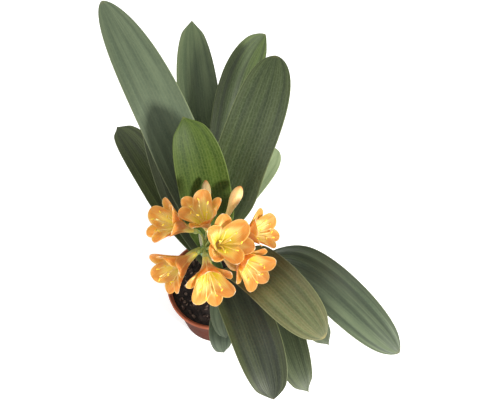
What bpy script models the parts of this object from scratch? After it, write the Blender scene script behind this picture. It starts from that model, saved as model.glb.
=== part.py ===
"""A clivia in flower, standing in a round plastic nursery pot.

Metres, +Z up. The pot stands on z = 0 and its axis is the Z axis. The two
ranks of leaves lean to the back (+Y) and to the front (-Y).
"""
import math

import bmesh
import bpy
import numpy as np
from mathutils import Vector

MM = 0.001

# Pot: a thin wall with a turned-out lip
POT_RIM_R = 65.0 * MM
POT_BODY_R = 60.5 * MM
POT_BASE_R = 50.0 * MM
POT_H = 115.0 * MM
POT_LIP_H = 10.0 * MM
POT_WALL = 1.8 * MM
POT_FLOOR = 2.2 * MM
POT_SIDES = 40
DRAIN_HOLES = 6
DRAIN_R = 4.0 * MM
DRAIN_RING_R = 36.0 * MM

# Potting mix
SOIL_TOP = 103.0 * MM
SOIL_LUMP = 1.6 * MM
SOIL_GAP = 0.4 * MM
HOLE_FLOOR = 93.0 * MM
HOLE_LONG = 34.5 * MM
HOLE_SHORT = 30.0 * MM

# Foot of the plant and the line its two ranks of leaves stand on
FOOT = Vector((10.0 * MM, 8.0 * MM, 0.0))
FAN_BACK = 118.0
FAN_FRONT = -62.0
RANK_FIRST = 10.6 * MM
RANK_STEP = 2.75 * MM
STAND_GAP = 0.4 * MM

# Leaf blades
BASE_HALF = 13.5 * MM
BASE_MAX_ARC = 44.0
BASE_THICK = 2.0 * MM
BLADE_THICK = 1.5 * MM
EDGE_THICK = 0.9 * MM

# name: (fan, rank, exit height, leaving azimuth and climb, tip reach, tip azimuth, tip height,
#        azimuth and climb at the tip, two stiffness shares, width, roll, fold,
#        tip bluntness)
LEAVES = {
    "leaf_01": (FAN_BACK, 0, 160, 96, 82, 113, 97, 375, 111, 42, 0.49, 0.30, 64, 0, 7, 4.4),
    "leaf_02": (FAN_BACK, 1, 155, 62, 70, 223, 61, 360, 71, 5, 0.41, 0.36, 70, 0, 8, 4.4),
    "leaf_03": (FAN_BACK, 2, 150, 107, 74, 290, 109.5, 400, 115, 19, 0.45, 0.44, 66, 0, 9, 3.0),
    "leaf_04": (FAN_BACK, 3, 142, 58, 58, 277, 68, 323, 42, 2, 0.40, 0.33, 62, 34, 16, 3.2),
    "leaf_05": (FAN_BACK, 4, 137, 82, 52, 298, 88, 314, 86, 4, 0.48, 0.41, 57, 12, 9, 3.0),
    "leaf_06": (FAN_BACK, 5, 132, 129, 54, 234, 105, 232, 103, -12, 0.44, 0.34, 50, 0, 8, 3.2),
    "leaf_07": (FAN_BACK, 6, 127, 134, 45, 242, 117, 201, 125, -19, 0.41, 0.34, 53, 0, 8, 3.4),
    "leaf_08": (FAN_BACK, 7, 114, 75, 36, 184, 55, 207, 54, -7, 0.40, 0.34, 54, 0, 8, 4.0),
    "leaf_09": (FAN_FRONT, 0, 150, -15, 78, 188, -51, 288, -51, -20, 0.52, 0.38, 62, 6, 7, 4.8),
    "leaf_10": (FAN_FRONT, 1, 145, -72, 83, 200, -74, 216, -85, -50, 0.41, 0.31, 60, 6, 8, 4.2),
    "leaf_11": (FAN_FRONT, 2, 128, 8, 49, 264, -40, 272, -45, -22, 0.50, 0.46, 56, 10, 8, 4.2),
    "leaf_12": (FAN_FRONT, 3, 124, -112, 53, 95, -85, 163, -73, -47, 0.47, 0.38, 30, 6, 6, 3.6),
    "leaf_13": (FAN_FRONT, 4, 121, -20, 42, 211, -62, 204, -54, -39, 0.48, 0.29, 50, 0, 8, 3.0),
    "leaf_14": (FAN_FRONT, 5, 117, -25, 41, 185, -43, 184, -59, -23, 0.47, 0.44, 45, 0, 8, 3.0),
    "leaf_15": (FAN_FRONT, 6, 113, -108, 33, 102, -88, 122, -67, -58, 0.54, 0.39, 34, 0, 6, 3.4),
}

# Flower stalk
UMBEL = Vector((-6.0 * MM, -12.0 * MM, 270.0 * MM))
SCAPE_WIDE = 7.4 * MM
SCAPE_THIN = 5.4 * MM
PEDICEL_R = 1.8 * MM
OVARY_R = 3.4 * MM
OVARY_L = 8.0 * MM
PEDICEL_TURN = 0.1

# Flowers: foot of the tube (mm), azimuth and climb of the axis, turn about it, size
FLOWERS = {
    "flower_1": ((-18, 1, 298), 178, 44, 10, 1.04),
    "flower_2": ((1, -4, 302), 128, 74, 5, 1.00),
    "flower_3": ((8, -28, 309), -42, 66, 24, 1.12),
    "flower_4": ((34, -13, 292), -8, 38, 0, 0.96),
    "flower_5": ((26, -31, 297), -56, 25, 15, 1.04),
    "flower_6": ((-17, -28, 294), -143, 20, 25, 1.06),
    "flower_7": ((-6, -37, 298), -86, 26, 5, 1.10),
}
BUDS = {
    "bud_1": ((2, 20, 300), 86, 30, 40, 5.6),
    "bud_2": ((26, 15, 300), 55, 28, 38, 7.2),
    "bud_3": ((14, -26, 276), -49, -6, 27, 6.0),
}
GREEN_BUD = ((13, -4, 290), 60, 62, 14, 4.0)
BRACTS = ((200, 30, 30, 9), (15, 22, 26, 8), (285, 8, 24, 9), (100, 20, 26, 8))

TEPAL_THICK = 0.9 * MM
# height and radius of the flower along its axis, for the narrow and the broad tepals
NARROW = ((0, 2.8), (15, 5.8), (25, 11.0), (34, 17.5), (41, 23.0), (46, 27.0))
BROAD = ((0, 2.8), (15, 5.8), (26, 10.5), (36, 16.0), (44, 21.5), (49, 25.5))
TUBE_ROWS = 2
TEPAL_SPREAD = (30.0, 30.0, 30.0, 28.5, 22.0, 6.0)

COLOURS = {
    "pot": (0.36, 0.13, 0.08),
    "soil": (0.035, 0.022, 0.015),
    "leaf": (0.055, 0.13, 0.035),
    "scape": (0.20, 0.33, 0.10),
    "flower": (0.80, 0.25, 0.06),
    "stamens": (0.85, 0.65, 0.22),
    "bud": (0.82, 0.42, 0.12),
}


def clear_scene():
    for obj in list(bpy.data.objects):
        bpy.data.objects.remove(obj, do_unlink=True)


def material(name, colour, rough):
    mat = bpy.data.materials.new(name)
    mat.use_nodes = True
    shader = mat.node_tree.nodes["Principled BSDF"]
    shader.inputs["Base Color"].default_value = (*colour, 1.0)
    shader.inputs["Roughness"].default_value = rough
    return mat


def make_object(name, verts, faces, colour, rough=0.5):
    mesh = bpy.data.meshes.new(name)
    mesh.from_pydata([tuple(v) for v in verts], [], faces)
    bm = bmesh.new()
    bm.from_mesh(mesh)
    bmesh.ops.recalc_face_normals(bm, faces=bm.faces)
    if bm.calc_volume(signed=True) < 0:
        bmesh.ops.reverse_faces(bm, faces=bm.faces)
    bm.to_mesh(mesh)
    bm.free()
    obj = bpy.data.objects.new(name, mesh)
    bpy.context.scene.collection.objects.link(obj)
    obj.data.materials.append(material(name, colour, rough))
    return obj


def heading(azimuth, climb):
    a, e = math.radians(azimuth), math.radians(climb)
    return Vector((math.cos(a) * math.cos(e), math.sin(a) * math.cos(e), math.sin(e)))


def smooth(x):
    x = min(max(x, 0.0), 1.0)
    return x * x * (3.0 - 2.0 * x)


def resample(points, count, power=1.0):
    pts = np.array([tuple(p) for p in points])
    run = np.concatenate([[0.0], np.cumsum(np.linalg.norm(np.diff(pts, axis=0), axis=1))])
    at = run[-1] * np.linspace(0.0, 1.0, count) ** power
    return [Vector([float(np.interp(d, run, pts[:, k])) for k in range(3)]) for d in at], run[-1]


# Boolean helpers

def cut(target, tool, operation="DIFFERENCE"):
    mod = target.modifiers.new("cut", "BOOLEAN")
    mod.operation = operation
    mod.solver = "EXACT"
    mod.object = tool
    bpy.context.view_layer.objects.active = target
    bpy.ops.object.modifier_apply(modifier=mod.name)
    bpy.data.objects.remove(tool, do_unlink=True)


def unite(target, others, solver="EXACT"):
    if solver == "MANIFOLD":
        for obj in [target] + list(others):
            split(obj)
    group = bpy.data.collections.new("joined")
    bpy.context.scene.collection.children.link(group)
    for obj in others:
        bpy.context.scene.collection.objects.unlink(obj)
        group.objects.link(obj)
    mod = target.modifiers.new("join", "BOOLEAN")
    mod.operation = "UNION"
    mod.solver = solver
    mod.operand_type = "COLLECTION"
    mod.collection = group
    bpy.context.view_layer.objects.active = target
    bpy.ops.object.modifier_apply(modifier=mod.name)
    for obj in others:
        bpy.data.objects.remove(obj, do_unlink=True)
    bpy.data.collections.remove(group)
    tidy(target)


def split(obj):
    bm = bmesh.new()
    bm.from_mesh(obj.data)
    bmesh.ops.triangulate(bm, faces=bm.faces)
    bm.to_mesh(obj.data)
    bm.free()


def tidy(obj):
    bm = bmesh.new()
    bm.from_mesh(obj.data)
    bmesh.ops.remove_doubles(bm, verts=bm.verts, dist=0.000001)
    bmesh.ops.dissolve_degenerate(bm, edges=bm.edges, dist=0.000001)
    bmesh.ops.triangulate(bm, faces=bm.faces)
    bmesh.ops.recalc_face_normals(bm, faces=bm.faces)
    bm.to_mesh(obj.data)
    bm.free()
    first = obj.data.materials[0]
    obj.data.materials.clear()
    obj.data.materials.append(first)


# Rings and tubes

def skin(rings, closed_ends=True):
    """Faces over rings of equal length, each ring running round the same way."""
    verts = [p for ring in rings for p in ring]
    n = len(rings[0])
    faces = []
    for i in range(len(rings) - 1):
        for j in range(n):
            k = (j + 1) % n
            faces.append((i * n + j, i * n + k, (i + 1) * n + k, (i + 1) * n + j))
    if closed_ends:
        faces.append(tuple(range(n))[::-1])
        faces.append(tuple((len(rings) - 1) * n + j for j in range(n)))
    return verts, faces


def across(direction, guide):
    side = guide - direction * guide.dot(direction)
    if side.length < 1e-4:
        side = Vector((1, 0, 0)) - direction * direction.x
    side.normalize()
    return side, direction.cross(side)


def tube(path, radii, sides, guide=Vector((0.3, 0.2, 1.0)), flat=1.0, turn=0.0):
    rings = []
    for i, p in enumerate(path):
        a = path[max(i - 1, 0)]
        b = path[min(i + 1, len(path) - 1)]
        s, t = across((b - a).normalized(), guide)
        ring = []
        for j in range(sides):
            w = 2.0 * math.pi * (j + turn) / sides
            ring.append(p + s * (radii[i] * math.cos(w)) + t * (radii[i] * flat * math.sin(w)))
        rings.append(ring)
    return skin(rings)


def bezier(a, b, c, d, count):
    out = []
    for i in range(count):
        t = i / (count - 1)
        u = 1.0 - t
        out.append(a * u ** 3 + b * (3 * u * u * t) + c * (3 * u * t * t) + d * t ** 3)
    return out


# Pot and potting mix

def lathe(profile, sides):
    rings = []
    for r, z in profile:
        rings.append([Vector((r * math.cos(2 * math.pi * j / sides),
                              r * math.sin(2 * math.pi * j / sides), z)) for j in range(sides)])
    return skin(rings)


def wall_radius(z):
    return POT_BASE_R + (POT_BODY_R - POT_BASE_R) * z / (POT_H - POT_LIP_H)


def build_pot():
    lip_low = POT_H - POT_LIP_H
    inner_top = POT_RIM_R - 2.4 * MM
    profile = [
        (POT_BASE_R - 6.0 * MM, 0.0),
        (POT_BASE_R - 1.2 * MM, 0.0),
        (POT_BASE_R, 1.2 * MM),
        (POT_BODY_R, lip_low),
        (POT_RIM_R - 0.8 * MM, lip_low),
        (POT_RIM_R, POT_H - 1.0 * MM),
        (POT_RIM_R - 0.9 * MM, POT_H),
        (inner_top, POT_H),
        (inner_top - 0.5 * MM, lip_low + 2.4 * MM),
        (wall_radius(lip_low) - POT_WALL, lip_low + 0.6 * MM),
        (wall_radius(POT_FLOOR) - POT_WALL, POT_FLOOR),
        (wall_radius(POT_FLOOR) - POT_WALL - 8.0 * MM, POT_FLOOR),
    ]
    verts, faces = lathe(profile, POT_SIDES)
    pot = make_object("pot", verts, faces, COLOURS["pot"], 0.45)
    for i in range(DRAIN_HOLES):
        a = 2.0 * math.pi * (i + 0.5) / DRAIN_HOLES
        x, y = DRAIN_RING_R * math.cos(a), DRAIN_RING_R * math.sin(a)
        path = [Vector((x, y, -3.0 * MM)), Vector((x, y, POT_FLOOR + 3.0 * MM))]
        v, f = tube(path, [DRAIN_R, DRAIN_R], 10, Vector((1, 0, 0)))
        cut(pot, make_object("hole", v, f, COLOURS["pot"]))
    tidy(pot)


def build_soil():
    rng = np.random.default_rng(7)
    sides = 44
    fan = math.radians(FAN_BACK)
    floor = POT_FLOOR + SOIL_GAP
    inset = POT_WALL + SOIL_GAP + 0.15 * MM
    top_r = wall_radius(SOIL_TOP) - inset - 0.3 * MM
    rings = [
        [Vector(((wall_radius(floor) - inset) * math.cos(2 * math.pi * j / sides),
                 (wall_radius(floor) - inset) * math.sin(2 * math.pi * j / sides), floor))
         for j in range(sides)]
    ]
    for share in (0.0, 0.16, 0.38, 0.62, 0.84, 1.0):
        ring = []
        for j in range(sides):
            a = 2 * math.pi * j / sides
            outer = Vector((top_r * math.cos(a), top_r * math.sin(a), 0))
            inner = hole_point(a, fan)
            lump = SOIL_LUMP * float(rng.uniform(-1.0, 1.0)) if 0.0 < share < 1.0 else 0.0
            p = outer.lerp(inner, share)
            ring.append(Vector((p.x, p.y, SOIL_TOP - 1.2 * MM * (share == 0.0) + lump)))
        rings.append(ring)
    rings.append([hole_point(2 * math.pi * j / sides, fan) + Vector((0, 0, HOLE_FLOOR))
                  for j in range(sides)])
    verts, faces = skin(rings)
    make_object("soil", verts, faces, COLOURS["soil"], 0.9)


def hole_point(angle, fan):
    a = angle - fan
    x, y = HOLE_LONG * math.cos(a), HOLE_SHORT * math.sin(a)
    return Vector((FOOT.x + x * math.cos(fan) - y * math.sin(fan),
                   FOOT.y + x * math.sin(fan) + y * math.cos(fan), 0.0))


# Leaves

def leaf_path(spec):
    fan, rank, out_z, a0, e0, reach, az, tip_z, a1, e1, k0, k1 = spec[:12]
    root = FOOT + heading(fan, 0) * (RANK_FIRST + RANK_STEP * rank)
    start = Vector((root.x, root.y, HOLE_FLOOR + STAND_GAP))
    leave = Vector((root.x, root.y, out_z * MM))
    tip = heading(az, 0) * (reach * MM)
    tip.z = tip_z * MM
    chord = (tip - leave).length
    curve = bezier(leave, leave + heading(a0, e0) * (k0 * chord),
                   tip - heading(a1, e1) * (k1 * chord), tip, 120)
    line = [start.lerp(leave, i / 30.0) for i in range(30)] + curve
    pts, length = resample(line, 160)
    arr = np.array([tuple(p) for p in pts])
    for _ in range(30):
        arr[2:60] = 0.25 * arr[1:59] + 0.5 * arr[2:60] + 0.25 * arr[3:61]
    return [Vector(p) for p in arr.tolist()], (leave - start).length


def leaf_shares(bare):
    """Stations along a leaf, closer together where it leaves the neck and at its tip."""
    low = [bare * k for k in (0.0, 0.45, 0.8)]
    mid = [bare + (0.90 - bare) * (k / 12.0) ** 1.12 for k in range(1, 13)]
    return low + mid + [0.93, 0.955, 0.975, 0.989, 0.997, 1.0]


def leaf_width(s, bare, width, base_width, blunt):
    grown = 0.56
    if s < grown:
        return base_width + (width - base_width) * smooth((s - bare * 0.8) / (grown - bare * 0.8))
    u = (s - grown) / (1.0 - grown)
    return max(width * (1.0 - u ** blunt) ** 0.60, 2.0 * MM)


def build_leaf(name, spec):
    fan, rank = spec[0], spec[1]
    width, roll, fold, blunt = spec[12] * MM, math.radians(spec[13]), math.radians(spec[14]), spec[15]
    radius = RANK_FIRST + RANK_STEP * rank
    path, bare_len = leaf_path(spec)
    length = sum((path[i + 1] - path[i]).length for i in range(len(path) - 1))
    bare = bare_len / length
    base_half = min(BASE_HALF, radius * math.radians(BASE_MAX_ARC))
    tops, bottoms = [], []
    for s in leaf_shares(bare):
        p, t = point_at(path, s)
        flat = smooth((s - bare * 0.75) / (0.36 - bare * 0.75))
        turn = smooth((s - bare) / (0.66 - bare))
        lead = math.degrees(math.atan2(t.y, t.x)) if math.hypot(t.x, t.y) > 0.02 else fan
        swing = (lead - fan + 180.0) % 360.0 - 180.0
        side = heading(fan + swing * turn + 90.0, 0)
        side = (side - t * side.dot(t)).normalized()
        up = side.cross(t) * -1.0
        side, up = rolled(side, up, roll * smooth((s - 0.35) / 0.3))
        w = leaf_width(s, bare, width, 2.0 * base_half, blunt) * 0.5
        bend = (1.0 - flat) / radius + flat * 5.0
        thick = BASE_THICK + (BLADE_THICK - BASE_THICK) * flat
        taper = smooth((1.0 - s) / 0.04)
        row_a, row_b = [], []
        for v in (-1.0, -0.55, 0.0, 0.55, 1.0):
            ang = bend * w * v
            x = math.sin(ang) / bend
            y = (1.0 - math.cos(ang)) / bend + abs(v) * w * math.tan(fold) * flat
            nx, ny = -math.sin(ang), math.cos(ang)
            half = 0.5 * (thick + (EDGE_THICK - thick) * abs(v) ** 1.5)
            half = 0.45 * MM + (half - 0.45 * MM) * taper
            row_a.append(p + side * (x + nx * half) + up * (y + ny * half))
            row_b.append(p + side * (x - nx * half) + up * (y - ny * half))
        tops.append(row_a)
        bottoms.append(row_b)
    verts, faces = blade(tops, bottoms)
    make_object(name, verts, faces, COLOURS["leaf"], 0.4)


def point_at(path, share):
    x = share * (len(path) - 1)
    i = min(int(x), len(path) - 2)
    p = path[i].lerp(path[i + 1], x - i)
    a = path[max(i - 2, 0)]
    b = path[min(i + 3, len(path) - 1)]
    return p, (b - a).normalized()


def rolled(side, up, angle):
    c, s = math.cos(angle), math.sin(angle)
    return side * c + up * s, up * c - side * s


def blade(tops, bottoms):
    """A thin closed blade, split into triangles alike on both faces."""
    rows, cols = len(tops), len(tops[0])
    verts = [p for row in tops for p in row] + [p for row in bottoms for p in row]
    off = rows * cols
    faces = []
    for i in range(rows - 1):
        for j in range(cols - 1):
            a, b = i * cols + j, i * cols + j + 1
            c, d = a + cols, b + cols
            pair = ((a, b, d), (a, d, c)) if j < cols // 2 else ((a, b, c), (b, d, c))
            for f in pair:
                faces.append(f)
                faces.append(tuple(off + k for k in reversed(f)))
        for j, flip in ((0, False), (cols - 1, True)):
            a, c = i * cols + j, (i + 1) * cols + j
            quad = (a, c, off + c, off + a)
            faces.append(tuple(reversed(quad)) if flip else quad)
    for i, flip in ((0, True), (rows - 1, False)):
        row = [i * cols + j for j in range(cols)]
        back = [off + k for k in reversed(row)]
        cap = tuple(row + back)
        faces.append(tuple(reversed(cap)) if flip else cap)
    return verts, faces


# Flower stalk

def build_scape():
    start = Vector((FOOT.x, FOOT.y, HOLE_FLOOR + STAND_GAP))
    top = UMBEL + Vector((0, 0, 4.0 * MM))
    lift = Vector((0, 0, 60.0 * MM))
    path = bezier(start, start + lift * 1.7, top - lift - Vector((-3, -4, 0)) * MM, top, 9)
    radii = [SCAPE_WIDE] * 6 + [SCAPE_WIDE * 1.03, SCAPE_WIDE * 1.1, SCAPE_WIDE * 0.75]
    guide = heading(FAN_BACK + 90.0, 0)
    verts, faces = tube(path, radii, 14, guide, SCAPE_THIN / SCAPE_WIDE, PEDICEL_TURN)
    scape = make_object("scape", verts, faces, COLOURS["scape"], 0.45)
    parts = []
    heads = [(v[0], v[1], v[2], v[4]) for v in FLOWERS.values()]
    heads += [(v[0], v[1], v[2], 0.7 * v[4] / 6.0) for v in BUDS.values()]
    for foot, az, climb, size in heads:
        parts.append(pedicel(Vector(foot) * MM, heading(az, climb), size))
    foot, az, climb, length, radius = GREEN_BUD
    parts.append(pedicel(Vector(foot) * MM, heading(az, climb), 0.6))
    tip = Vector(foot) * MM
    axis = heading(az, climb)
    path = [tip - axis * (2 * MM), tip + axis * (3 * MM), tip + axis * (8 * MM), tip + axis * (length * MM)]
    v, f = tube(path, [1.5 * MM, radius * 0.9 * MM, radius * 0.8 * MM, 0.6 * MM], 6)
    parts.append(make_object("part", v, f, COLOURS["scape"]))
    for az, climb, length, width in BRACTS:
        parts.append(bract(az, climb, length * MM, width * MM))
    unite(scape, parts, "MANIFOLD")


def pedicel(foot, axis, size):
    root = UMBEL + Vector((0, 0, -2.0 * MM))
    end = foot - axis * (OVARY_L * size + STAND_GAP)
    chord = (end - root).length
    out = (end - root).normalized()
    start_way = (out + Vector((0, 0, 0.5))).normalized()
    path = bezier(root, root + start_way * (0.35 * chord), end - axis * (0.35 * chord), end, 5)
    radii = [PEDICEL_R * 0.9] * 4 + [PEDICEL_R * 1.05]
    stop = foot - axis * STAND_GAP
    for share, r in ((0.35, 0.85), (0.7, 0.88), (1.0, 0.62)):
        path.append(end.lerp(stop, share))
        radii.append(OVARY_R * size * r)
    side = axis.cross(Vector((0, 0, 1)))
    v, f = tube(path, radii, 6, side, turn=PEDICEL_TURN)
    return make_object("part", v, f, COLOURS["scape"])


def bract(azimuth, climb, length, width):
    root = UMBEL + Vector((0, 0, -4.0 * MM))
    way = heading(azimuth, climb)
    side = heading(azimuth + 90.0, 0)
    up = way.cross(side)
    tops, bottoms = [], []
    for s, w in ((0.0, 0.8), (0.35, 1.0), (0.7, 0.75), (1.0, 0.12)):
        p = root + way * (length * s) - Vector((0, 0, 1)) * (length * 0.18 * s * s)
        row_a, row_b = [], []
        for v in (-1.0, 0.0, 1.0):
            q = p + side * (width * 0.5 * w * v) + up * (1.2 * MM * abs(v) * w)
            row_a.append(q + up * (0.45 * MM))
            row_b.append(q - up * (0.45 * MM))
        tops.append(row_a)
        bottoms.append(row_b)
    v, f = blade(tops, bottoms)
    return make_object("part", v, f, COLOURS["scape"])


# Flowers

def axis_frame(axis, turn):
    s, t = across(axis, Vector((0.0, 0.0, 1.0)))
    c, d = math.cos(math.radians(turn)), math.sin(math.radians(turn))
    return s * c + t * d, t * c - s * d


def build_flower(name, spec):
    """A trumpet with six lobes: one skin inside, one outside, joined round the edge."""
    foot, az, climb, turn, size = spec
    foot = Vector(foot) * MM
    axis = heading(az, climb)
    s, t = axis_frame(axis, turn)
    cols = 5
    index, verts, faces = {}, [], []

    def place(side, lobe, row, col):
        key = (side, lobe, row, col)
        if row < TUBE_ROWS:
            step = (lobe * (cols - 1) + col) % (6 * (cols - 1))
            key = (side, "tube", row, step)
        if key in index:
            return index[key]
        shape = BROAD if lobe % 2 == 0 else NARROW
        if row < TUBE_ROWS:
            shape = NARROW
        h, r = shape[row]
        before = shape[max(row - 1, 0)]
        after = shape[min(row + 1, len(shape) - 1)]
        run = math.hypot(after[0] - before[0], after[1] - before[1])
        nh, nr = -(after[1] - before[1]) / run, (after[0] - before[0]) / run
        share = (col - (cols - 1) / 2) / ((cols - 1) / 2)
        spread = 30.0 if row < TUBE_ROWS else TEPAL_SPREAD[row] - 1.0
        a = math.radians(60.0 * lobe + share * spread)
        cup = 1.0 + 0.05 * (1.0 - abs(share)) * (row >= TUBE_ROWS)
        shift = (-0.5 if side == 0 else 0.5) * TEPAL_THICK / MM
        rr = r * cup + nr * shift
        hh = h + nh * shift
        p = foot + axis * (hh * size * MM) + (s * math.cos(a) + t * math.sin(a)) * (rr * size * MM)
        index[key] = len(verts)
        verts.append(p)
        return index[key]

    rows = len(NARROW)
    for lobe in range(6):
        for i in range(rows - 1):
            for j in range(cols - 1):
                for side in (0, 1):
                    a, b = place(side, lobe, i, j), place(side, lobe, i, j + 1)
                    c, d = place(side, lobe, i + 1, j), place(side, lobe, i + 1, j + 1)
                    pair = ((a, b, d), (a, d, c)) if j < (cols - 1) // 2 else ((a, b, c), (b, d, c))
                    for f in pair:
                        faces.append(f if side else tuple(reversed(f)))
            if i >= TUBE_ROWS - 1:
                for j in (0, cols - 1):
                    a, c = place(0, lobe, i, j), place(0, lobe, i + 1, j)
                    d, b = place(1, lobe, i + 1, j), place(1, lobe, i, j)
                    faces.append((a, c, d, b) if j else (a, b, d, c))
        row = [place(0, lobe, rows - 1, j) for j in range(cols)]
        back = [place(1, lobe, rows - 1, j) for j in reversed(range(cols))]
        faces.append(tuple(row + back))
    ring_out = [place(1, k // 4, 0, k % 4) for k in range(24)]
    ring_in = [place(0, k // 4, 0, k % 4) for k in range(24)]
    faces.append(tuple(reversed(ring_out)))
    lift = len(verts)
    for k in ring_in:
        verts[k] = verts[k] + axis * (TEPAL_THICK * size)
    verts.append(foot + axis * (TEPAL_THICK * size))
    for k in range(24):
        faces.append((ring_in[k], ring_in[(k + 1) % 24], lift))
    make_object(name, verts, faces, COLOURS["flower"], 0.5)


def build_stamens(name, spec):
    """Tries a few small turns of the filaments until their union is closed."""
    for attempt in range(12):
        hub = join_stamens(name, spec, 0.23 + 0.05 * attempt)
        if is_closed(hub):
            return
        bpy.data.objects.remove(hub, do_unlink=True)


def is_closed(obj):
    bm = bmesh.new()
    bm.from_mesh(obj.data)
    closed = all(len(edge.link_faces) == 2 for edge in bm.edges)
    bm.free()
    return closed


def join_stamens(name, spec, first_turn):
    foot, az, climb, turn, size = spec
    foot = Vector(foot) * MM
    axis = heading(az, climb)
    s, t = axis_frame(axis, turn)
    root = foot + axis * (3.0 * size * MM)
    path = [root + axis * (k * size * MM) for k in (0.0, 1.5, 3.0)]
    v, f = tube(path, [1.6 * size * MM, 2.9 * size * MM, 1.6 * size * MM], 8)
    hub = make_object(name, v, f, COLOURS["stamens"], 0.6)
    parts = []
    for k in range(7):
        style = k == 6
        a = math.radians(60.0 * k + 12.0)
        out = s * math.cos(a) + t * math.sin(a)
        reach = (3.0 if style else 8.5 + 1.6 * (k % 2)) * size * MM
        rise = (50.0 if style else 38.0 + 3.0 * (k % 3)) * size * MM
        tip = root + axis * rise + out * reach
        low = root + axis * (1.6 * size * MM)
        if not style:
            low = low + out * (1.15 * size * MM)
        path = bezier(low, low + axis * (0.5 * rise), tip - axis * (0.3 * rise) - out * (0.3 * reach), tip, 3)
        radii = [0.42 * MM, 0.46 * MM, 0.55 * MM]
        way = (path[-1] - path[-2]).normalized()
        if not style:
            for d, r in ((1.4, 1.2), (4.0, 0.7)):
                path.append(tip + way * (d * size * MM))
                radii.append(r * size * MM)
        v, f = tube(path, radii, 4, turn=first_turn + 0.17 * k)
        parts.append(make_object("part", v, f, COLOURS["stamens"]))
    unite(hub, parts)
    return hub


def build_bud(name, spec):
    foot, az, climb, length, radius = spec
    foot = Vector(foot) * MM
    axis = heading(az, climb)
    path, radii = [], []
    for s, r in ((0.0, 0.42), (0.25, 0.62), (0.5, 0.92), (0.7, 1.0), (0.86, 0.78), (0.96, 0.4), (1.0, 0.14)):
        path.append(foot + axis * (length * s * MM))
        radii.append(radius * r * MM)
    v, f = tube(path, radii, 10)
    make_object(name, v, f, COLOURS["bud"], 0.5)


def main():
    clear_scene()
    build_pot()
    build_soil()
    for name, spec in LEAVES.items():
        build_leaf(name, spec)
    build_scape()
    for name, spec in FLOWERS.items():
        build_flower(name, spec)
        build_stamens(name.replace("flower", "stamens"), spec)
    for name, spec in BUDS.items():
        build_bud(name, spec)


main()
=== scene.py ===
"""Looks of the potted clivia: veined leaves, trumpet flowers, bark mix and plastic pot.

Metres, +Z up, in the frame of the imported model. Sizes and places repeat the
model's own, and every piece stands for the node of the same name.
"""
import math
from collections import namedtuple

import bpy
import numpy as np
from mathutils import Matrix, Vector

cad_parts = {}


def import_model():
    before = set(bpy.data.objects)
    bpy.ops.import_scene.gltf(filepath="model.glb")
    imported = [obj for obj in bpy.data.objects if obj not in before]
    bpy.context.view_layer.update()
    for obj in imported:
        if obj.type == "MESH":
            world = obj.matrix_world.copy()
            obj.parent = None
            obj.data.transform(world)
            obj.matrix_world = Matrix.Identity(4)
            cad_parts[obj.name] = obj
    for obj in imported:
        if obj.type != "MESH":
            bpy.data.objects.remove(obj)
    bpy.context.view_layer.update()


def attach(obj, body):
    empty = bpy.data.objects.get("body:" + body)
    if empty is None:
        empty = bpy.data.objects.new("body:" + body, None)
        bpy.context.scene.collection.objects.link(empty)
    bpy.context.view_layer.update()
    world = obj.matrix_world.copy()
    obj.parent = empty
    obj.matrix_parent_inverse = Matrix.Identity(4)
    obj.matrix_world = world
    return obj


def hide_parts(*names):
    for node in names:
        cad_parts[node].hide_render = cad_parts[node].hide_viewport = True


MM = 0.001
UP = Vector((0.0, 0.0, 1.0))

# Pot and potting mix; sizes of chips in millimetres, the sharp angle in degrees
POT_RIM_R = 65.0 * MM
POT_BODY_R = 60.5 * MM
POT_BASE_R = 50.0 * MM
POT_H = 115.0 * MM
POT_LIP_H = 10.0 * MM
POT_LIP_WALL = 2.4 * MM
POT_WALL = 1.8 * MM
POT_FLOOR = 2.2 * MM
POT_SIDES = 144
POT_SHARP = 35.0
DRAIN_HOLES = 6
DRAIN_R = 4.0 * MM
DRAIN_RING_R = 36.0 * MM
SOIL_TOP = 103.0 * MM
SOIL_GAP = 0.6 * MM
SOIL_SIDES = 150
SOIL_RINGS = 26
SOIL_SEED = 11
HOLE_FLOOR = 93.0 * MM
HOLE_LONG = 34.5 * MM
HOLE_SHORT = 30.0 * MM
CHIPS = 420
CHIP_MIN = 1.8
CHIP_MAX = 4.8

# Foot of the plant and its two ranks of leaves
FOOT = Vector((10.0 * MM, 8.0 * MM, 0.0))
FAN_BACK = 118.0
FAN_FRONT = -62.0
RANK_FIRST = 10.6 * MM
RANK_STEP = 2.75 * MM
STAND_GAP = 0.4 * MM
BASE_HALF = 13.5 * MM
BASE_MAX_ARC = 44.0
BASE_THICK = 2.0 * MM
BLADE_THICK = 1.5 * MM
EDGE_THICK = 0.9 * MM
TIP_HALF_THICK = 0.3 * MM
TIP_WIDTH = 0.9 * MM

# The blade across: columns, veins, curvature per metre once it has opened, ridge of the fold
LEAF_COLS = 19
VEINS = 17
LATTICE_ROWS = 62.0
BLADE_BEND = 5.0
CREASE_SOFT = 0.004
CREASE_SINK = 0.063

# The blade along, in shares of the leaf's length; the opening starts at a share of the bare foot
OPEN_FROM = 0.75
FLAT_AT = 0.36
SWUNG_AT = 0.66
ROLL_FROM = 0.35
ROLL_SPAN = 0.30
WIDEST_AT = 0.56
TIP_FROM = 0.90

# Points of the midrib: straight foot, arch, both together; rounds that soften their join
FOOT_POINTS = 30
ARCH_POINTS = 120
PATH_POINTS = 160
SOFTENING = 30

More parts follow.
